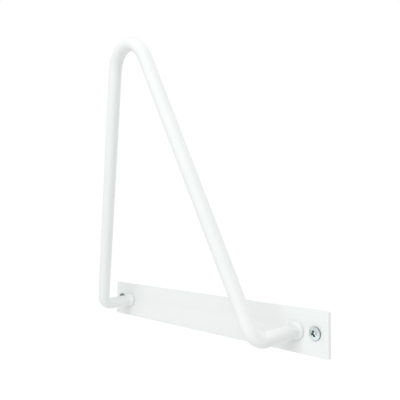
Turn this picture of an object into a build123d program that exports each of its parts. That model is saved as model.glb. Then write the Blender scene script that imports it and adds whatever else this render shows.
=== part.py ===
from build123d import *
import os
from math import cos, radians, sin

# Wall bracket: a flat plate on the wall and one round rod bent into a triangle that leans out from it.
# Millimetres. The origin is the middle of the plate's back face: +X runs along the plate to the right,
# +Y points into the wall and +Z is up.

# Wall plate, a length of flat bar
plate_length = 250.0
plate_height = 30.0
plate_thickness = 3.0
plate_corner_radius = 1.0
plate_front_edge_radius = 0.4
plate_back_edge_chamfer = 0.3

# Bent rod: its centre line runs stub, leg, apex, leg, stub between the corners that these sizes place
rod_diameter = 10.0
stub_end_distance = 25.0
left_stub_length = 30.0
right_stub_length = 41.5
stub_drop_angle = 5.0
apex_corner_height = 243.0
apex_corner_reach = 85.0
foot_bend_inner_radius = 5.5
apex_bend_inner_radius = 19.0

# Weld beads round the stubs
weld_width = 1.1
weld_height = 4.0
weld_toe_height = 0.6
weld_crown = 0.15

# Pan-head cross-recess screws
screw_end_distance = 10.0
screw_diameter = 4.2
screw_neck_diameter = 3.4
screw_length = 13.0
screw_point_length = 3.6
screw_tip_diameter = 0.6
screw_hole_clearance = 0.3
head_diameter = 8.5
head_height = 2.1
head_rim_height = 1.0
recess_span = 4.0
recess_width = 1.5
recess_depth = 1.3
recess_draft_angle = 9.0
left_recess_turn = 25.0
right_recess_turn = 18.0

# Worked-out places and sizes
rod_radius = rod_diameter / 2
stub_x = plate_length / 2 - stub_end_distance
screw_x = plate_length / 2 - screw_end_distance
screw_hole_radius = screw_diameter / 2 + screw_hole_clearance
# The screw's plain neck fills the plate's hole, so its thread starts at the plate's back
neck_length = plate_thickness
plate_front = -plate_thickness
stub_direction = Vector(0, -cos(radians(stub_drop_angle)), -sin(radians(stub_drop_angle)))
# The stubs are drawn this far past the plate's front face and then trimmed flush with it
trim_allowance = rod_radius


def stub_base(side):
    """Point where a stub's centre line meets the plate's front face; side is -1 left, +1 right."""
    return Vector(side * stub_x, plate_front, 0)


def trimmed_at_plate(solid):
    """Cut away what lies behind the plate's front face."""
    reach = plate_length + apex_corner_height
    behind = Pos(0, plate_front + reach / 2, 0) * Box(reach, reach, reach)
    return solid - behind


def make_wall_plate():
    """Flat bar with softened edges and a clearance hole for each screw."""
    outline = RectangleRounded(plate_length, plate_height, plate_corner_radius)
    plate = extrude(Plane.XZ * outline, amount=plate_thickness)
    plate = fillet(plate.faces().sort_by(Axis.Y)[0].edges(), plate_front_edge_radius)
    plate = chamfer(plate.faces().sort_by(Axis.Y)[-1].edges(), plate_back_edge_chamfer)
    for side in (-1, 1):
        hole = Plane.XZ * Pos(side * screw_x, 0) * Circle(screw_hole_radius)
        plate -= extrude(hole, amount=plate_thickness)
    return plate


def make_bent_rod():
    """Round rod swept along straight runs joined by tangent bends, each bend in its own plane."""
    left, right = stub_base(-1), stub_base(1)
    corners = [
        left - stub_direction * trim_allowance,
        left + stub_direction * left_stub_length,
        Vector(0, -apex_corner_reach, apex_corner_height),
        right + stub_direction * right_stub_length,
        right - stub_direction * trim_allowance,
    ]
    foot_bend_radius = foot_bend_inner_radius + rod_radius
    apex_bend_radius = apex_bend_inner_radius + rod_radius
    centre_line = FilletPolyline(*corners, radius=[foot_bend_radius, apex_bend_radius, foot_bend_radius])
    section = Plane(origin=centre_line @ 0, z_dir=centre_line % 0) * Circle(rod_radius)
    return trimmed_at_plate(sweep(section, path=centre_line))


def make_weld_bead(side):
    """Ring of weld round one stub: a crowned bead that runs out onto the rod."""
    toe_radius = rod_radius + weld_width
    crown_point = (rod_radius + weld_width / 2 + weld_crown, (weld_toe_height + weld_height) / 2 + weld_crown)
    toe = (toe_radius, weld_toe_height)
    top = (rod_radius, weld_height)
    base_inner = (rod_radius, -trim_allowance)
    base_outer = (toe_radius, -trim_allowance)
    outline = Polyline(top, base_inner, base_outer, toe) + ThreePointArc(toe, crown_point, top)
    ring = revolve(Plane.XZ * make_face(outline), axis=Axis.Z)
    stub_plane = Plane(origin=stub_base(side), x_dir=(1, 0, 0), z_dir=stub_direction)
    return trimmed_at_plate(stub_plane * ring)


def make_screw(side, recess_turn):
    """Pan-head screw seated on the plate's front face, with a pointed shank that goes through to the wall."""
    head_radius = head_diameter / 2
    shank_radius = screw_diameter / 2
    neck_radius = screw_neck_diameter / 2
    rim = (head_radius, head_rim_height)
    crown = (0, head_height)
    outline = Polyline(
        crown,
        (0, -screw_length),
        (screw_tip_diameter / 2, -screw_length),
        (shank_radius, screw_point_length - screw_length),
        (shank_radius, -neck_length),
        (neck_radius, -neck_length),
        (neck_radius, 0),
        (head_radius, 0),
        rim,
    ) + TangentArc(crown, rim, tangent=(1, 0))
    body = revolve(Plane.XZ * make_face(outline), axis=Axis.Z)
    cross = Rectangle(recess_span, recess_width) + Rectangle(recess_width, recess_span)
    recess = extrude(cross, amount=-recess_depth, taper=recess_draft_angle)
    body -= Pos(0, 0, head_height) * Rot(0, 0, recess_turn) * recess
    head_plane = Plane(origin=(side * screw_x, plate_front, 0), x_dir=(1, 0, 0), z_dir=(0, -1, 0))
    return head_plane * body


parts = {
    "wall_plate": make_wall_plate(),
    "bent_rod": make_bent_rod(),
    "weld_bead_left": make_weld_bead(-1),
    "weld_bead_right": make_weld_bead(1),
    "screw_left": make_screw(-1, left_recess_turn),
    "screw_right": make_screw(1, right_recess_turn),
}

os.makedirs("parts", exist_ok=True)
for node, solid in parts.items():
    export_step(solid, f"parts/{node}.step")
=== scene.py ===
"""White wall bracket: a flat plate with two screws and one round rod bent into a triangle that leans out."""

import math
import random

import bmesh
import bpy
from bpy.props import FloatProperty, FloatVectorProperty, IntProperty, PointerProperty
from mathutils import Matrix, Vector


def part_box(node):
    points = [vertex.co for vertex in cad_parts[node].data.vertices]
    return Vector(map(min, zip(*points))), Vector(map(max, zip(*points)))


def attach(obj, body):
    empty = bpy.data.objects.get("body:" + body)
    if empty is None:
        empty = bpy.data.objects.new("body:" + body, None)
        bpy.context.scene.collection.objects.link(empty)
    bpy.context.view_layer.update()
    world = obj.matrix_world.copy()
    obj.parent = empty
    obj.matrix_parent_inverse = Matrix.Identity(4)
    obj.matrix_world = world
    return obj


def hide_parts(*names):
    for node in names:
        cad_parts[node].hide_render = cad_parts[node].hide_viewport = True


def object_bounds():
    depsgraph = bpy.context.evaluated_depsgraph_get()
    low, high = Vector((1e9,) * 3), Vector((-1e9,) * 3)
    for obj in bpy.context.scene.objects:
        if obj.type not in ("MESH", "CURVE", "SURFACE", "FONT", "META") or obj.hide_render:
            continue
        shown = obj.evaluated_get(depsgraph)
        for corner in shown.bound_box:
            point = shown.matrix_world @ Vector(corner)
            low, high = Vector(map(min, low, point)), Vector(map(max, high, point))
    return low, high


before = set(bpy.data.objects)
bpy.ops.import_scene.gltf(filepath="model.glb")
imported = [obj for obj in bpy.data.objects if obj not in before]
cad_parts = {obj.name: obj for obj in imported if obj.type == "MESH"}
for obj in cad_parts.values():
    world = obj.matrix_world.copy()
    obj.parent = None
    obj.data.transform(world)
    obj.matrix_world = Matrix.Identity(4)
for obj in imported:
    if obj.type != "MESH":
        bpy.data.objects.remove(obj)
cad_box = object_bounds()
plate_low, plate_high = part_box("wall_plate")
weld_low, weld_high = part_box("weld_bead_right")
screw_low, screw_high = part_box("screw_right")

bl_info = {
    "name": "Wall Bracket",
    "version": (1, 0, 0),
    "blender": (4, 5, 0),
    "location": "View3D > Sidebar > Bracket",
    "description": "Models a white rod bracket with its wall plate, welds and screws",
    "category": "Add Mesh",
}

BODY = "root"
MM = 0.001
LEFT, RIGHT = -1, 1
TO_WALL = Vector((0, 1, 0))
TO_ROOM = Vector((0, -1, 0))
WHITE = (1.0, 1.0, 1.0, 1.0)
# Attribute of the screws' points: how dull the zinc is, plus painted shade on the heads' sides, in the
# recesses and on the left head, and a painted highlight at the bottom of the right recess
DULL_AND_PAINTED_LIGHT = "dull"
# Sides of the round holes and of the screws
ROUND_SIDES = 64
# Distances, in metres, within which points count as level and as doubles
LEVEL = 1e-6
DOUBLE = 1e-7


def metres(name, description, default):
    """A size in metres."""
    return FloatProperty(name=name, description=description, default=default, precision=5, unit="LENGTH")


def point(name, description, default):
    """A place in the bracket's frame, in metres."""
    return FloatVectorProperty(name=name, description=description, default=default, subtype="XYZ")


def angle(name, description, degrees):
    """An angle, given in degrees and kept in radians."""
    return FloatProperty(name=name, description=description, default=math.radians(degrees), subtype="ANGLE")


def number(name, description, default):
    """A plain number."""
    return FloatProperty(name=name, description=description, default=default, precision=4)


def count(name, description, default):
    """A whole number."""
    return IntProperty(name=name, description=description, default=default)


def colour(name, description, default):
    """A linear colour."""
    return FloatVectorProperty(name=name, description=description, default=default, subtype="COLOR")


class PlateSettings(bpy.types.PropertyGroup):
    """Sizes of the flat bar on the wall."""

    length: metres("Length", "Length of the flat bar", plate_high.x - plate_low.x)
    height: metres("Height", "Height of the flat bar", plate_high.z - plate_low.z)
    thickness: metres("Thickness", "Thickness of the flat bar", plate_high.y - plate_low.y)
    corner_radius: metres("Corner radius", "Radius of the four corners", 1.0 * MM)
    front_edge_radius: metres("Front edge", "Rounding of the front edges", 0.4 * MM)
    back_edge_chamfer: metres("Back edge", "Chamfer of the back edges", 0.3 * MM)
    hole_diameter: metres("Hole", "Diameter of the screw holes", 4.8 * MM)
    hole_rim: metres("Hole rim", "Rounding that the coat leaves at the holes", 0.25 * MM)


class RodSettings(bpy.types.PropertyGroup):
    """Sizes of the bent rod."""

    diameter: metres("Diameter", "Diameter of the rod", 10.0 * MM)
    stub_x: metres("Stub place", "Distance of each stub from the middle", (weld_low.x + weld_high.x) / 2)
    left_stub_length: metres("Left stub", "From the plate to the left corner", 30.0 * MM)
    right_stub_length: metres("Right stub", "From the plate to the right corner", 41.5 * MM)
    stub_drop: angle("Stub drop", "How far the stubs point down", 5.0)
    apex_corner_height: metres("Apex height", "Height of the corner above the plate's middle", 243.0 * MM)
    apex_corner_reach: metres("Apex reach", "Distance of that corner from the wall", 85.0 * MM)
    foot_bend_inner_radius: metres("Foot bend", "Inner radius of the two lower bends", 5.5 * MM)
    apex_bend_inner_radius: metres("Apex bend", "Inner radius of the top bend", 19.0 * MM)
    sides: count("Sides", "Faces round the rod", 64)
    bend_steps: count("Bend steps", "Rings in each bend", 32)


class WeldSettings(bpy.types.PropertyGroup):
    """Sizes of the weld beads round the stubs."""

    width: metres("Width", "How far a bead spreads on the plate", 1.1 * MM)
    height: metres("Height", "How far a bead climbs the stub", 4.0 * MM)
    toe_height: metres("Toe", "Height of the bead's outer edge", 0.75 * MM)
    taper: number("Taper", "Power of the cosine by which the bead runs out on the stub", 3.0)
    undercut: metres("Undercut", "How far the bead's outer edge overhangs the plate", 0.6 * MM)
    ripples: count("Ripples", "Ripples round a bead", 17)
    ripple_height: metres("Ripple height", "Rise of a ripple", 0.05 * MM)


class ScrewSettings(bpy.types.PropertyGroup):
    """Sizes of the pan-head screws."""

    x: metres("Place", "Distance of each screw from the middle", (screw_low.x + screw_high.x) / 2)
    length: metres("Length", "From under the head to the tip", screw_high.y - plate_low.y)
    head_diameter: metres("Head", "Diameter of the head", 8.5 * MM)
    head_height: metres("Head height", "Height of the head", 2.1 * MM)
    rim_height: metres("Rim height", "Height of the head's straight side", 1.0 * MM)
    edge_radius: metres("Edge", "Rounding of the head's edges", 0.10 * MM)
    neck_diameter: metres("Neck", "Diameter of the plain neck", 3.4 * MM)
    thread_diameter: metres("Thread", "Outside diameter of the thread", 4.2 * MM)
    core_diameter: metres("Core", "Diameter at the root of the thread", 3.0 * MM)
    thread_pitch: metres("Pitch", "Advance of the thread in one turn", 1.4 * MM)
    point_length: metres("Point", "Length of the tapered point", 3.6 * MM)
    tip_diameter: metres("Tip", "Diameter of the tip", 0.6 * MM)
    recess_span: metres("Recess span", "Length across the cross recess", 4.0 * MM)
    recess_width: metres("Recess width", "Width of each wing of the recess", 1.5 * MM)
    recess_depth: metres("Recess depth", "Depth of the recess", 1.3 * MM)
    recess_mouth: metres("Recess mouth", "Depth at which the wings begin to draw in", 0.4 * MM)
    recess_draw: number("Recess draw", "Size of the recess's bottom as a share of its mouth", 0.75)
    recess_flare: metres("Recess flare", "Diameter of the cone in the recess's middle", 2.4 * MM)
    recess_tip: metres("Recess tip", "How far that cone goes deeper than the wings", 0.2 * MM)
    # Depth over which painted shade darkens the zinc in the recess
    recess_shade_depth: metres("Recess fade", "Depth over which the zinc grows dull in the recess", 0.15 * MM)
    dome_dullness: number("Dome dullness", "How dull the zinc of the dome is", 0.32)
    # Painted shade and dark reflection on the head's side
    side_painted_shade: number("Side dullness", "How dull the zinc of the head's side is", 0.95)
    shank_dullness: number("Shank dullness", "How dull the zinc of the shank is", 0.5)
    # Painted shade over the whole left head, which sits behind the left stub
    left_painted_shade: number("Left dullness", "How dull the left head has become", 0.85)
    left_turn: angle("Left turn", "Where the left screw stopped", 25.0)
    right_turn: angle("Right turn", "Where the right screw stopped", 18.0)


class FinishSettings(bpy.types.PropertyGroup):
    """Colours and grain of the two finishes."""

    coat: colour("Coat", "White powder coat", (0.846, 0.872, 0.865))
    coat_thin: colour("Thin coat", "Powder coat where it lies thinner", (0.834, 0.862, 0.855))
    coat_roughness: number("Coat roughness", "Roughness of the coat where it is smoothest", 0.34)
    peel_roughness: number("Peel roughness", "Roughness that the orange peel adds", 0.16)
    peel_size: metres("Peel size", "Size of the orange peel in the coat", 1.3 * MM)
    peel_depth: metres("Peel depth", "Depth of the orange peel", 0.05 * MM)
    grain_size: metres("Grain size", "Size of the fine grain in the coat", 0.25 * MM)
    drift_size: metres("Drift size", "Size of the patches in which the coat's tone drifts", 28.0 * MM)
    # Bright end of the zinc blend; left alone at the bottom of the right screw's recess, it is a painted
    # highlight
    zinc: colour("Zinc", "Zinc plate where a driver polished it", (0.88, 0.97, 0.965))
    # Dark end of the zinc blend, used as painted shade and dark reflection on the head's side and in the
    # recess
    zinc_dull_and_shade: colour("Dull zinc", "Zinc on the sides and in the recess", (0.10, 0.12, 0.125))
    zinc_roughness: number("Zinc roughness", "Roughness of the zinc where it is smoothest", 0.22)
    cloud_roughness: number("Cloud roughness", "Roughness that the clouds in the zinc add", 0.16)
    dull_roughness: number("Dull roughness", "Roughness that dull zinc adds", 0.15)
    cloud_size: metres("Cloud size", "Size of the clouds in the zinc", 0.9 * MM)
    scuff_size: metres("Scuff size", "Size of the fine scuffs in the zinc", 0.12 * MM)
    scuff_depth: metres("Scuff depth", "Depth of the fine scuffs", 0.02 * MM)


class StageSettings(bpy.types.PropertyGroup):
    """The camera, the floor and the light."""

    camera_place: point("Camera", "Place of the camera", (0.321094, -0.281355, 0.062657))
    camera_turn: angle("Turn", "Turn of the camera to the left", 49.119)
    camera_rise: angle("Rise", "How far the camera looks up", 3.870)
    camera_roll: angle("Roll", "Tilt of the camera about its own line of sight", 0.693)
    camera_lens: FloatProperty(
        name="Lens", description="Focal length on a frame 36 mm wide", default=46.40, unit="CAMERA"
    )
    floor_drop: metres("Floor", "Distance of the floor below the plate's middle", 0.45)
    floor_size: metres("Floor size", "Width of the floor", 8.0)
    floor_seen: colour("Floor seen", "Floor as the camera and the reflections show it", (0.92, 0.92, 0.92))
    floor_bounce: colour("Floor bounce", "Floor as it gives light back to the bracket", (0.88, 0.88, 0.88))
    floor_glow: number("Floor glow", "White added to the floor where it is seen", 0.31)
    ambient: number("Ambient", "Light that comes evenly from all sides", 0.64)
    key_place: point("Key place", "Place of the soft box in front", (0.42, -0.95, 0.75))
    key_size: metres("Key size", "Width of the soft box", 1.0)
    key_strength: number("Key", "Light of the soft box on the top bend; 1 makes a white surface white", 0.64)
    back_strength: number("Back", "Light of the far lamp behind; 1 makes a white surface white", 0.28)
    back_turn: angle("Back turn", "Where the back light stands, from the middle to the right", 170.0)
    back_rise: angle("Back rise", "How high the back light stands", 30.0)
    back_spread: angle("Back spread", "How wide the back light looks from the bracket", 45.0)


# Modelling moves

def start_afresh():
    """Leave edit mode and deselect everything, so that the next operator acts on the new piece alone."""
    if bpy.context.mode != "OBJECT":
        bpy.ops.object.mode_set(mode="OBJECT")
    bpy.ops.object.select_all(action="DESELECT")


def edit_all():
    """Open the active piece in edit mode with everything selected."""
    bpy.ops.object.mode_set(mode="EDIT")
    bpy.ops.mesh.select_all(action="SELECT")


def pick(kind, test):
    """Select the vertices, edges or faces that pass the test, and nothing else."""
    bpy.ops.mesh.select_all(action="DESELECT")
    bpy.ops.mesh.select_mode(type=kind)
    mesh = bpy.context.edit_object.data
    edited = bmesh.from_edit_mesh(mesh)
    for element in {"VERT": edited.verts, "EDGE": edited.edges, "FACE": edited.faces}[kind]:
        if test(element):
            element.select_set(True)
    edited.select_flush_mode()
    bmesh.update_edit_mesh(mesh)


def pull(offset):
    """Extrude the selection by an offset."""
    bpy.ops.mesh.extrude_region_move(TRANSFORM_OT_translate={"value": tuple(offset)})


def scale(factors, centre):
    """Scale the selection about a centre."""
    bpy.ops.transform.resize(value=tuple(factors), center_override=tuple(centre))


def add_ring(sides, radius, place, direction, fill="NOTHING"):
    """A circle whose axis is the direction, opened in edit mode."""
    start_afresh()
    turn = Vector((0, 0, 1)).rotation_difference(direction).to_euler()
    bpy.ops.mesh.primitive_circle_add(
        vertices=sides, radius=radius, fill_type=fill, location=place, rotation=turn
    )
    bpy.ops.object.transform_apply(location=True, rotation=True, scale=True)
    edit_all()
    return bpy.context.edit_object


def climb(place, direction, rings):
    """Extrude the selected ring through (radius, height) steps along an axis, from the first step on."""
    for (radius, height), (next_radius, next_height) in zip(rings, rings[1:]):
        pull(direction * (next_height - height))
        scale((next_radius / radius,) * 3, place + direction * next_height)


def close_up():
    """Merge doubles and turn every face outwards."""
    bpy.ops.mesh.select_all(action="SELECT")
    bpy.ops.mesh.remove_doubles(threshold=DOUBLE)
    bpy.ops.mesh.normals_make_consistent(inside=False)


def apply_modifier(piece, kind, **settings):
    """Add a modifier with its settings and apply it."""
    bpy.context.view_layer.objects.active = piece
    modifier = piece.modifiers.new(kind.title(), kind)
    for name, value in settings.items():
        setattr(modifier, name, value)
    bpy.ops.object.modifier_apply(modifier=modifier.name)


def cut(piece, cutter):
    """Take the cutter's shape out of a piece."""
    start_afresh()
    apply_modifier(piece, "BOOLEAN", operation="DIFFERENCE", solver="EXACT", object=cutter)
    bpy.data.objects.remove(cutter)


def copy_of(piece, name):
    """A copy of a piece with a mesh of its own."""
    twin = bpy.data.objects.new(name, piece.data.copy())
    bpy.context.scene.collection.objects.link(twin)
    return twin


def finish_piece(piece, name, node, material, smooth_angle):
    """Name a modelled piece, shade it and let it stand for its node on the fixed body."""
    start_afresh()
    piece.select_set(True)
    bpy.context.view_layer.objects.active = piece
    bpy.ops.object.shade_smooth_by_angle(angle=math.radians(smooth_angle))
    piece.name = name
    piece.data.name = name
    piece.data.materials.clear()
    piece.data.materials.append(material)
    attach(piece, BODY)
    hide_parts(node)


# Shader values

class Wire:
    """An output socket of a shader node. Arithmetic on it adds Math nodes."""

    def __init__(self, socket):
        self.socket = socket

    def _math(self, operation, first, second):
        return add_node(self.socket.id_data, "Math", {"operation": operation}, {0: first, 1: second})

    def __add__(self, other):
        return self._math("ADD", self, other)

    def __radd__(self, other):
        return self._math("ADD", other, self)

    def __sub__(self, other):
        return self._math("SUBTRACT", self, other)

    def __rsub__(self, other):
        return self._math("SUBTRACT", other, self)

    def __mul__(self, other):
        return self._math("MULTIPLY", self, other)

    def __rmul__(self, other):
        return self._math("MULTIPLY", other, self)


def add_node(tree, kind, settings, sockets, output=0):
    """Add a shader node: its settings first, then the values or links of its sockets."""
    node = tree.nodes.new("ShaderNode" + kind)
    for name, value in settings.items():
        setattr(node, name, value)
    for name, value in sockets.items():
        if isinstance(value, Wire):
            tree.links.new(value.socket, node.inputs[name])
        else:
            node.inputs[name].default_value = value
    return Wire(node.outputs[output]) if node.outputs else None


def opaque(rgb):
    """A colour with full alpha."""
    return (*rgb, 1.0)


def new_material(name):
    """An empty node material and its tree."""
    material = bpy.data.materials.new(name)
    material.use_nodes = True
    material.node_tree.nodes.clear()
    return material, material.node_tree


def noise(tree, place, size, detail, roughness=0.5):
    """Noise whose features are about the given size, from 0 to 1."""
    sockets = {"Vector": place, "Scale": 1 / size, "Detail": detail, "Roughness": roughness}
    return add_node(tree, "TexNoise", {}, sockets)


def blend(tree, factor, first, second):
    """Mix two colours; a Mix node that is set to colours has them at sockets 6 and 7."""
    sockets = {0: factor, 6: opaque(first), 7: opaque(second)}
    return add_node(tree, "Mix", {"data_type": "RGBA"}, sockets, output=2)


def powder_coat(finish):
    """Satin white powder coat: a fine orange peel, a slight grain and a faint drift in tone."""
    material, tree = new_material("white_powder_coat")
    place = add_node(tree, "TexCoord", {}, {}, output="Object")
    peel = noise(tree, place, finish.peel_size, detail=2.0)
    grain = noise(tree, place, finish.grain_size, detail=1.0)
    drift = noise(tree, place, finish.drift_size, detail=2.0)
    grain_in_tone, grain_in_relief = 0.2, 0.25
    tone = drift + (grain - drift) * grain_in_tone
    height = peel + (grain - peel) * grain_in_relief
    relief = add_node(tree, "Bump", {}, {"Strength": 0.35, "Distance": finish.peel_depth, "Height": height})
    sockets = {
        "Base Color": blend(tree, tone, finish.coat_thin, finish.coat),
        "Roughness": finish.coat_roughness + finish.peel_roughness * peel,
        "IOR": 1.5,
        "Normal": relief,
    }
    surface = add_node(tree, "BsdfPrincipled", {}, sockets)
    add_node(tree, "OutputMaterial", {}, {"Surface": surface})
    return material


def zinc_plate(finish):
    """Bright zinc plate, cloudy at a small scale, blended by a point attribute towards dark zinc: real
    dullness on the dome and shank, painted shade on the head's side and in the recess, and a painted
    highlight where it stays bright.
    """
    material, tree = new_material("bright_zinc_plate")
    place = add_node(tree, "TexCoord", {}, {}, output="Object")
    cloud = noise(tree, place, finish.cloud_size, detail=3.0, roughness=0.6)
    scuff = noise(tree, place, finish.scuff_size, detail=2.0, roughness=0.7)
    # The attribute holds the zinc's dullness together with painted shade and a painted highlight
    dull = add_node(tree, "Attribute", {"attribute_name": DULL_AND_PAINTED_LIGHT}, {}, output="Fac")
    # How much the clouds add to or take from the dullness and the painted light
    patchiness = 0.3
    dullness_and_painted_light = dull * (1 - patchiness * (0.5 - cloud))
    relief = add_node(tree, "Bump", {}, {"Strength": 0.25, "Distance": finish.scuff_depth, "Height": scuff})
    sockets = {
        "Base Color": blend(tree, dullness_and_painted_light, finish.zinc, finish.zinc_dull_and_shade),
        "Metallic": 1.0,
        "Roughness": finish.zinc_roughness + finish.cloud_roughness * cloud + finish.dull_roughness * dull,
        "Normal": relief,
    }
    surface = add_node(tree, "BsdfPrincipled", {}, sockets)
    add_node(tree, "OutputMaterial", {}, {"Surface": surface})
    return material


def shared_material(name, maker):
    """The material of that name, made on first use."""
    return bpy.data.materials.get(name) or maker(bpy.context.scene.bracket_finish)


# Places that several pieces share

def plate_front():
    """Y of the plate's front face, whose back lies on the wall at 0."""
    return plate_low.y


def stub_direction(rod):
    """Direction in which both stubs leave the plate."""
    return Vector((0, -math.cos(rod.stub_drop), -math.sin(rod.stub_drop)))


def stub_base(rod, side):
    """Point where a stub's middle line leaves the plate's front face."""
    return Vector((side * rod.stub_x, plate_front(), 0))


def dome_radius(screw):
    """Radius of the sphere that the head's dome is part of."""
    head_radius = screw.head_diameter / 2
    dome_rise = screw.head_height - screw.rim_height
    return (head_radius ** 2 + dome_rise ** 2) / (2 * dome_rise)


# Pieces

class BRACKET_OT_plate(bpy.types.Operator):
    """Model the flat bar with softened edges and a hole for each screw"""

    bl_idname = "bracket.plate"
    bl_label = "Wall Plate"

    # Faces across each rounding
    corner_steps = 8
    front_edge_steps = 5
    hole_rim_steps = 4

    def execute(self, context):
        plate = context.scene.bracket_plate
        screw_x = context.scene.bracket_screw.x
        start_afresh()
        bpy.ops.mesh.primitive_cube_add(size=1, location=(plate_low + plate_high) / 2)
        bar = context.object
        bar.scale = (plate.length, plate.thickness, plate.height)
        bpy.ops.object.transform_apply(location=True, rotation=True, scale=True)
        edit_all()
        self.soften_edges(plate)
        for side in (LEFT, RIGHT):
            self.drill(bar, plate, side * screw_x)
        context.view_layer.objects.active = bar
        edit_all()
        self.round_hole_rims(plate, screw_x)
        close_up()
        coat = shared_material("white_powder_coat", powder_coat)
        finish_piece(bar, "flat_bar", "wall_plate", coat, smooth_angle=30)
        return {"FINISHED"}

    def soften_edges(self, plate):
        """Round the corners and the front edges, and chamfer the back edges."""
        pick("EDGE", lambda e: (e.verts[0].co - e.verts[1].co).cross(TO_WALL).length < LEVEL)
        bpy.ops.mesh.bevel(offset=plate.corner_radius, segments=self.corner_steps, affect="EDGES")
        pick("EDGE", lambda e: all(abs(v.co.y - plate_low.y) < LEVEL for v in e.verts))
        bpy.ops.mesh.bevel(offset=plate.front_edge_radius, segments=self.front_edge_steps, affect="EDGES")
        pick("EDGE", lambda e: all(abs(v.co.y - plate_high.y) < LEVEL for v in e.verts))
        bpy.ops.mesh.bevel(offset=plate.back_edge_chamfer, segments=1, affect="EDGES")

    @staticmethod
    def drill(bar, plate, x):
        """Cut a screw hole with a round bar that stands out of both faces by the plate's thickness."""
        outside = Vector((x, plate_low.y - plate.thickness, 0))
        bit = add_ring(ROUND_SIDES, plate.hole_diameter / 2, outside, TO_WALL, fill="NGON")
        pull(TO_WALL * plate.thickness * 3)
        close_up()
        cut(bar, bit)

    def round_hole_rims(self, plate, screw_x):
        """Round both rims of the holes, as the coat leaves them."""
        radius = plate.hole_diameter / 2
        off_round = 0.02 * MM

        def on_hole_rim(edge):
            ends = [v.co for v in edge.verts]
            flat = all(min(abs(co.y - plate_low.y), abs(co.y - plate_high.y)) < LEVEL for co in ends)
            away = [math.hypot(abs(co.x) - screw_x, co.z) for co in ends]
            return flat and all(abs(r - radius) < off_round for r in away)

        pick("EDGE", on_hole_rim)
        bpy.ops.mesh.bevel(offset=plate.hole_rim, segments=self.hole_rim_steps, affect="EDGES")


class BRACKET_OT_rod(bpy.types.Operator):
    """Model the rod: a ring drawn along the straight runs and spun round the bends"""

    bl_idname = "bracket.rod"
    bl_label = "Bent Rod"

    def execute(self, context):
        rod = context.scene.bracket_rod
        radius = rod.diameter / 2
        outward = stub_direction(rod)
        left, right = stub_base(rod, LEFT), stub_base(rod, RIGHT)
        # The stubs are drawn this far past the plate's front and then cut flush with it
        overlength = radius
        corners = [
            left + outward * rod.left_stub_length,
            Vector((0, -rod.apex_corner_reach, rod.apex_corner_height)),
            right + outward * rod.right_stub_length,
        ]
        start, end = left - outward * overlength, right - outward * overlength
        foot_bend = rod.foot_bend_inner_radius + radius
        apex_bend = rod.apex_bend_inner_radius + radius
        bar = add_ring(rod.sides, radius, start, outward)
        place = start
        for corner, following, bend in zip(corners, corners[1:] + [end], (foot_bend, apex_bend, foot_bend)):
            place = self.run_and_bend(place, corner, following, bend, rod.bend_steps)
        pull(end - place)
        close_up()
        bpy.ops.mesh.bisect(
            plane_co=(0, plate_front(), 0), plane_no=TO_WALL, use_fill=True, clear_outer=True
        )
        close_up()
        coat = shared_material("white_powder_coat", powder_coat)
        finish_piece(bar, "bent_rod_triangle", "bent_rod", coat, smooth_angle=40)
        return {"FINISHED"}

    @staticmethod
    def run_and_bend(place, corner, following, bend, steps):
        """Draw the ring straight up to a bend and spin it round; returns where the bend ends."""
        arriving = (corner - place).normalized()
        leaving = (following - corner).normalized()
        turn = arriving.angle(leaving)
        set_back = bend * math.tan(turn / 2)
        bend_start = corner - arriving * set_back
        axis = arriving.cross(leaving).normalized()
        bend_middle = bend_start + axis.cross(arriving) * bend
        pull(bend_start - place)
        # Spin turns clockwise about its axis, so the axis is reversed
        bpy.ops.mesh.spin(steps=steps, angle=turn, center=bend_middle, axis=-axis)
        return corner + leaving * set_back


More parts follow.
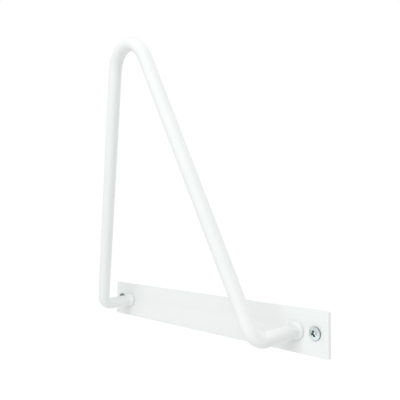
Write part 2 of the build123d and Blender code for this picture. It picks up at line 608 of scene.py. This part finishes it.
class BRACKET_OT_welds(bpy.types.Operator):
    """Model the rippled weld bead round the right stub and its mirror image round the left one"""

    bl_idname = "bracket.welds"
    bl_label = "Weld Beads"

    columns_per_ripple = 8
    face_steps = 12
    ripple_seed = 11
    # Least and most rise of a ripple as shares of the set height, and the power that rounds its hump
    ripple_range = (0.6, 1.2)
    ripple_power = 0.7

    def execute(self, context):
        rod = context.scene.bracket_rod
        weld = context.scene.bracket_weld
        base, outward = stub_base(rod, RIGHT), stub_direction(rod)
        stub_radius = rod.diameter / 2
        columns = weld.ripples * self.columns_per_ripple
        rings = [(stub_radius + weld.width - weld.undercut, 0.0)]
        for step in range(self.face_steps + 1):
            lean = math.pi / 2 * step / self.face_steps
            swell = math.cos(lean) ** weld.taper
            high = weld.toe_height + (weld.height - weld.toe_height) * math.sin(lean)
            rings.append((stub_radius + weld.width * swell, high))
        rings.append((stub_radius, 0.0))
        bead = add_ring(columns, rings[0][0], base, outward)
        climb(base, outward, rings)
        pick("EDGE", lambda e: e.is_boundary)
        bpy.ops.mesh.bridge_edge_loops()
        close_up()
        self.add_ripples(weld, base, outward, stub_radius, columns)
        # The stub leans, so the bead's foot is pressed flat onto the plate
        pick("VERT", lambda v: v.co.y > plate_front() or self.height(v.co, base, outward) < LEVEL)
        scale((1, 0, 1), (0, plate_front(), 0))
        close_up()
        start_afresh()
        coat = shared_material("white_powder_coat", powder_coat)
        twin = copy_of(bead, "weld_twin")
        context.view_layer.objects.active = twin
        edit_all()
        scale((-1, 1, 1), (0, 0, 0))
        close_up()
        finish_piece(bead, "weld_ring_right", "weld_bead_right", coat, smooth_angle=60)
        finish_piece(twin, "weld_ring_left", "weld_bead_left", coat, smooth_angle=60)
        return {"FINISHED"}

    @staticmethod
    def height(place, base, outward):
        """Distance of a place from the stub's base, along the stub."""
        return (place - base).dot(outward)

    def add_ripples(self, weld, base, outward, stub_radius, columns):
        """Raise the bead's face column by column into ripples of uneven height."""
        draws = random.Random(self.ripple_seed)
        side_axis = Vector((1, 0, 0))
        up_axis = outward.cross(side_axis)
        # Lower than this the bead is undercut, and nearer to the stub it is too thin to ripple
        face_height = weld.toe_height / 2
        face_radius = stub_radius + weld.width / 4

        def column(vert):
            away = vert.co - base
            return round(math.atan2(away.dot(up_axis), away.dot(side_axis)) / math.tau * columns) % columns

        def on_face(vert):
            high = self.height(vert.co, base, outward)
            return high > face_height and (vert.co - base - outward * high).length > face_radius

        for ripple in range(weld.ripples):
            rise = weld.ripple_height * draws.uniform(*self.ripple_range)
            for step in range(1, self.columns_per_ripple):
                here = ripple * self.columns_per_ripple + step
                share_of_rise = math.sin(math.pi * step / self.columns_per_ripple) ** self.ripple_power
                pick("VERT", lambda v: on_face(v) and column(v) == here)
                bpy.ops.transform.shrink_fatten(value=rise * share_of_rise)


class BRACKET_OT_screws(bpy.types.Operator):
    """Model a pan-head screw with its cross recess and thread, and copy it to the other hole"""

    bl_idname = "bracket.screws"
    bl_label = "Screws"

    dome_steps = 12
    edge_steps = 3
    # Edges of the head that are at least this sharp are rounded
    edge_angle = math.radians(35)
    flare_sides = 32
    thread_steps = 36
    # Shares of the pitch: where the thread starts behind the neck, and half the width of its root
    thread_start = 0.6
    thread_half_width = 0.32
    # Share of the core's radius at which the thread's root lies inside the core
    thread_root = 0.85

    def execute(self, context):
        screw = context.scene.bracket_screw
        seat = Vector((screw.x, plate_front(), 0))
        body = self.turned_body(screw, seat)
        cut(body, self.recess_cutter(screw, seat))
        cut(body, self.flare_cutter(screw, seat))
        apply_modifier(
            body, "BEVEL", width=screw.edge_radius, segments=self.edge_steps,
            limit_method="ANGLE", angle_limit=self.edge_angle
        )
        ridge = self.thread_ridge(screw, seat)
        start_afresh()
        ridge.select_set(True)
        body.select_set(True)
        context.view_layer.objects.active = body
        bpy.ops.object.join()
        twin = copy_of(body, "screw_twin")
        self.mark_dullness_and_painted_light(screw, body, seat, least=0.0)
        # The left head is darkened all over as painted shade
        self.mark_dullness_and_painted_light(screw, twin, seat, least=screw.left_painted_shade)
        zinc = shared_material("bright_zinc_plate", zinc_plate)
        to_left = Vector((-2 * screw.x, 0, 0))
        for piece, name, node, shift, turn in (
            (body, "pan_screw_right", "screw_right", Vector(), screw.right_turn),
            (twin, "pan_screw_left", "screw_left", to_left, screw.left_turn),
        ):
            # The turn is against the clock as seen from the room, which is backwards about +Y
            turned = Matrix.Rotation(-turn, 4, "Y")
            piece.data.transform(Matrix.Translation(seat + shift) @ turned @ Matrix.Translation(-seat))
            finish_piece(piece, name, node, zinc, smooth_angle=35)
        return {"FINISHED"}

    def turned_body(self, screw, seat):
        """Head, neck, core and point as one turned shape, drawn from the tip to the crown."""
        head_radius = screw.head_diameter / 2
        dome = dome_radius(screw)
        dome_angle = math.asin(head_radius / dome)
        neck_length = -plate_front()
        core_radius, neck_radius = screw.core_diameter / 2, screw.neck_diameter / 2
        rings = [
            (screw.tip_diameter / 2, -screw.length),
            (core_radius, screw.point_length - screw.length),
            (core_radius, -neck_length),
            (neck_radius, -neck_length),
            (neck_radius, 0.0),
            (head_radius, 0.0),
        ]
        for step in range(self.dome_steps):
            lean = dome_angle * (1 - step / self.dome_steps)
            rings.append((dome * math.sin(lean), screw.head_height - dome * (1 - math.cos(lean))))
        return self.turned_shape(seat, rings, ROUND_SIDES)

    @staticmethod
    def turned_shape(seat, rings, sides):
        """Closed round shape through (radius, height) rings, with heights counted from the plate's front."""
        radius, height = rings[0]
        shape = add_ring(sides, radius, seat + TO_ROOM * height, TO_ROOM, fill="NGON")
        climb(seat, TO_ROOM, rings)
        close_up()
        start_afresh()
        return shape

    @staticmethod
    def recess_cutter(screw, seat):
        """Cross with four wings, straight at the mouth and drawn in towards the bottom of the recess."""
        bottom = seat + TO_ROOM * (screw.head_height - screw.recess_depth)
        mouth = seat + TO_ROOM * (screw.head_height - screw.recess_mouth)
        start_afresh()
        bpy.ops.mesh.primitive_cube_add(size=1, location=(bottom + mouth) / 2)
        cutter = bpy.context.object
        cutter.scale = (screw.recess_width, bottom.y - mouth.y, screw.recess_width)
        bpy.ops.object.transform_apply(location=True, rotation=True, scale=True)
        edit_all()
        # The four sides become the wings
        pick("FACE", lambda f: abs(f.normal.y) < 0.5)
        wing = (screw.recess_span - screw.recess_width) / 2
        bpy.ops.mesh.extrude_faces_move(TRANSFORM_OT_shrink_fatten={"value": wing})
        pick("VERT", lambda v: abs(v.co.y - bottom.y) < LEVEL)
        scale((screw.recess_draw, 1, screw.recess_draw), bottom)
        pick("FACE", lambda f: all(abs(v.co.y - mouth.y) < LEVEL for v in f.verts))
        pull(TO_ROOM * screw.head_height)
        close_up()
        start_afresh()
        return cutter

    def flare_cutter(self, screw, seat):
        """Cone that opens the middle of the recess, where the driver centres itself."""
        radius = screw.recess_flare / 2
        rings = [
            (radius * screw.recess_draw, screw.head_height - screw.recess_depth - screw.recess_tip),
            (radius, screw.head_height - screw.recess_mouth / 2),
            (radius, screw.head_height * 2),
        ]
        return self.turned_shape(seat, rings, self.flare_sides)

    def thread_ridge(self, screw, seat):
        """Helical ridge on the shank that runs out at the neck and shrinks along the point."""
        core_radius, thread_radius = screw.core_diameter / 2, screw.thread_diameter / 2
        neck_length = -plate_front()
        turns = math.floor((screw.length - neck_length) / screw.thread_pitch) - 1
        first = neck_length + screw.thread_pitch * self.thread_start
        half_base = screw.thread_pitch * self.thread_half_width
        corners = 4
        start_afresh()
        bpy.ops.mesh.primitive_circle_add(
            vertices=corners, radius=half_base, fill_type="NOTHING", location=seat + TO_WALL * first
        )
        ridge = bpy.context.object
        edit_all()
        sunk_radius = core_radius * self.thread_root
        scale(((thread_radius - sunk_radius) / 2 / half_base, 1, 1), ridge.location)
        bpy.ops.transform.translate(value=((thread_radius + sunk_radius) / 2, 0, 0))
        bpy.ops.object.mode_set(mode="OBJECT")
        steps = self.thread_steps
        apply_modifier(
            ridge, "SCREW", axis="Y", angle=math.tau, iterations=turns, screw_offset=screw.thread_pitch,
            steps=steps, render_steps=steps
        )
        ridge.select_set(True)
        bpy.ops.object.transform_apply(location=True, rotation=True, scale=True)
        edit_all()
        point_start = screw.length - screw.point_length
        tip_share = screw.tip_diameter / screw.core_diameter
        # The thread grows out of the core, and dies away again, over half a turn
        run_out = steps / 2
        core_share = core_radius / thread_radius
        for station in range(turns * steps + 1):
            deep = first + screw.thread_pitch * station / steps
            along_point = max(0.0, deep - point_start) / screw.point_length
            left_of_shank = 1 - (1 - tip_share) * along_point
            from_end = min(station, turns * steps - station)
            grown = core_share + (1 - core_share) * min(1.0, from_end / run_out)
            size = left_of_shank * grown
            if size < 1:
                pick("VERT", lambda v: v.index // corners == station)
                scale((size, 1, size), seat)
        pick("EDGE", lambda e: e.is_boundary)
        bpy.ops.mesh.edge_face_add()
        close_up()
        start_afresh()
        return ridge

    @staticmethod
    def mark_dullness_and_painted_light(screw, body, seat, least):
        """Note per point how dull the zinc is, with painted shade on the head's side and in the recess and a
        painted highlight at the recess's bottom.
        """
        # This attribute carries real dullness together with painted shade and a painted highlight
        dull = body.data.attributes.new(DULL_AND_PAINTED_LIGHT, "FLOAT", "POINT")
        head_radius = screw.head_diameter / 2
        dome = dome_radius(screw)
        wing_floor = screw.head_height - screw.recess_depth
        for vert, mark in zip(body.data.vertices, dull.data):
            height = seat.y - vert.co.y
            radius = math.hypot(vert.co.x - seat.x, vert.co.z - seat.z)
            if height < 0:
                mark.value = screw.shank_dullness
            # Head's side: darkened as painted shade and dark reflection
            elif height < screw.rim_height and radius > head_radius - screw.edge_radius:
                mark.value = max(least, screw.side_painted_shade)
            # Under the head and at the bottom of the recess's cone: kept at the least value, which on the
            # right screw is a painted highlight
            elif height < wing_floor - screw.recess_tip / 2:
                mark.value = least
            else:
                # Dome at its own dullness; in the recess the zinc darkens with depth as painted shade
                dome_height = screw.head_height - dome + math.sqrt(dome ** 2 - radius ** 2)
                in_recess = min(1.0, (dome_height - height) / screw.recess_shade_depth)
                mark.value = max(least, screw.dome_dullness, in_recess)


# Stage

class BRACKET_OT_stage(bpy.types.Operator):
    """Set the camera, the pale floor and the soft light"""

    bl_idname = "bracket.stage"
    bl_label = "Stage"

    # Width in millimetres of the frame that the lens is given for
    frame_width = 36

    def execute(self, context):
        stage = context.scene.bracket_stage
        self.add_camera(context.scene, stage)
        self.add_floor(stage)
        self.add_world(context.scene, stage)
        self.add_key(context.scene, stage)
        self.add_back(context.scene, stage)
        context.scene.view_settings.view_transform = "Standard"
        return {"FINISHED"}

    def add_camera(self, scene, stage):
        """Camera at the viewing angle of the photograph."""
        camera = bpy.data.objects.new("camera", bpy.data.cameras.new("camera"))
        scene.collection.objects.link(camera)
        camera.data.sensor_width = self.frame_width
        camera.data.lens = stage.camera_lens
        camera.data.clip_start = 0.01
        camera.matrix_world = (
            Matrix.Translation(stage.camera_place)
            @ Matrix.Rotation(stage.camera_turn, 4, "Z")
            @ Matrix.Rotation(math.pi / 2 + stage.camera_rise, 4, "X")
            @ Matrix.Rotation(stage.camera_roll, 4, "Z")
        )
        scene.camera = camera

    @staticmethod
    def add_floor(stage):
        """Pale floor well below the bracket."""
        start_afresh()
        bpy.ops.mesh.primitive_plane_add(size=stage.floor_size, location=(0, 0, -stage.floor_drop))
        floor = bpy.context.object
        floor.name = "floor"
        material, tree = new_material("pale_floor")
        bounce = add_node(tree, "BsdfDiffuse", {}, {"Color": opaque(stage.floor_bounce)})
        matt = add_node(tree, "BsdfDiffuse", {}, {"Color": opaque(stage.floor_seen)})
        white = add_node(tree, "Emission", {}, {"Color": WHITE, "Strength": stage.floor_glow})
        seen = add_node(tree, "AddShader", {}, {0: matt, 1: white})
        surface = add_node(tree, "MixShader", {}, {0: seen_directly(tree), 1: bounce, 2: seen})
        add_node(tree, "OutputMaterial", {}, {"Surface": surface})
        floor.data.materials.append(material)

    @staticmethod
    def add_world(scene, stage):
        """White surroundings, and the even light that they give."""
        world = bpy.data.worlds.new("surroundings")
        scene.world = world
        world.use_nodes = True
        tree = world.node_tree
        tree.nodes.clear()
        even = add_node(tree, "Background", {}, {"Color": WHITE, "Strength": stage.ambient})
        white = add_node(tree, "Background", {}, {"Color": WHITE, "Strength": 1.0})
        surface = add_node(tree, "MixShader", {}, {0: seen_directly(tree), 1: even, 2: white})
        add_node(tree, "OutputWorld", {}, {"Surface": surface})

    @staticmethod
    def add_key(scene, stage):
        """Soft box in front and above, so near that the top of the bracket gets more of it than the foot."""
        top_bend = Vector((0, cad_box[0].y, cad_box[1].z))
        away = Vector(stage.key_place) - top_bend
        lamp = new_lamp(scene, "key", "AREA", away)
        lamp.location = stage.key_place
        lamp.data.size = stage.key_size
        # A square lamp of this power lights a white surface that faces it to the set strength
        lamp.data.energy = stage.key_strength * (math.pi * away.length) ** 2

    @staticmethod
    def add_back(scene, stage):
        """Broad lamp far behind, which lights the sides of the rod that face the wall."""
        level = math.cos(stage.back_rise)
        away = Vector((
            math.sin(stage.back_turn) * level, -math.cos(stage.back_turn) * level, math.sin(stage.back_rise)
        ))
        lamp = new_lamp(scene, "back", "SUN", away)
        lamp.data.angle = stage.back_spread
        # A sun lamp of strength pi makes a white surface that faces it white
        lamp.data.energy = stage.back_strength * math.pi


def new_lamp(scene, name, kind, away):
    """Lamp that shines from the direction in which it lies, and shows neither itself nor its reflection."""
    lamp = bpy.data.objects.new(name, bpy.data.lights.new(name, kind))
    scene.collection.objects.link(lamp)
    lamp.rotation_euler = away.to_track_quat("Z", "Y").to_euler()
    lamp.visible_camera = False
    lamp.visible_glossy = False
    return lamp


def seen_directly(tree):
    """1 where the camera, a reflection or glass shows the surroundings, and 0 where they only give light."""
    camera = add_node(tree, "LightPath", {}, {}, output="Is Camera Ray")
    glossy = add_node(tree, "LightPath", {}, {}, output="Is Glossy Ray")
    through = add_node(tree, "LightPath", {}, {}, output="Is Transmission Ray")
    return add_node(tree, "Clamp", {}, {0: camera + glossy + through})


# Sidebar and registration

SETTINGS = {
    "bracket_plate": PlateSettings,
    "bracket_rod": RodSettings,
    "bracket_weld": WeldSettings,
    "bracket_screw": ScrewSettings,
    "bracket_finish": FinishSettings,
    "bracket_stage": StageSettings,
}
OPERATORS = (BRACKET_OT_plate, BRACKET_OT_rod, BRACKET_OT_welds, BRACKET_OT_screws, BRACKET_OT_stage)


class BRACKET_PT_sidebar(bpy.types.Panel):
    """Settings and steps of the wall bracket"""

    bl_idname = "BRACKET_PT_sidebar"
    bl_label = "Wall Bracket"
    bl_space_type = "VIEW_3D"
    bl_region_type = "UI"
    bl_category = "Bracket"

    def draw(self, context):
        for operator in OPERATORS:
            self.layout.operator(operator.bl_idname)
        for name, group in SETTINGS.items():
            box = self.layout.box()
            box.label(text=group.__doc__)
            for prop in group.__annotations__:
                box.prop(getattr(context.scene, name), prop)


def register():
    for name, group in SETTINGS.items():
        bpy.utils.register_class(group)
        setattr(bpy.types.Scene, name, PointerProperty(type=group))
    for cls in (*OPERATORS, BRACKET_PT_sidebar):
        bpy.utils.register_class(cls)


def unregister():
    for cls in (BRACKET_PT_sidebar, *reversed(OPERATORS)):
        bpy.utils.unregister_class(cls)
    for name, group in reversed(SETTINGS.items()):
        delattr(bpy.types.Scene, name)
        bpy.utils.unregister_class(group)


def main():
    """Model every piece and set the stage."""
    register()
    bpy.ops.bracket.plate()
    bpy.ops.bracket.rod()
    bpy.ops.bracket.welds()
    bpy.ops.bracket.screws()
    bpy.ops.bracket.stage()


if __name__ == "__main__":
    main()
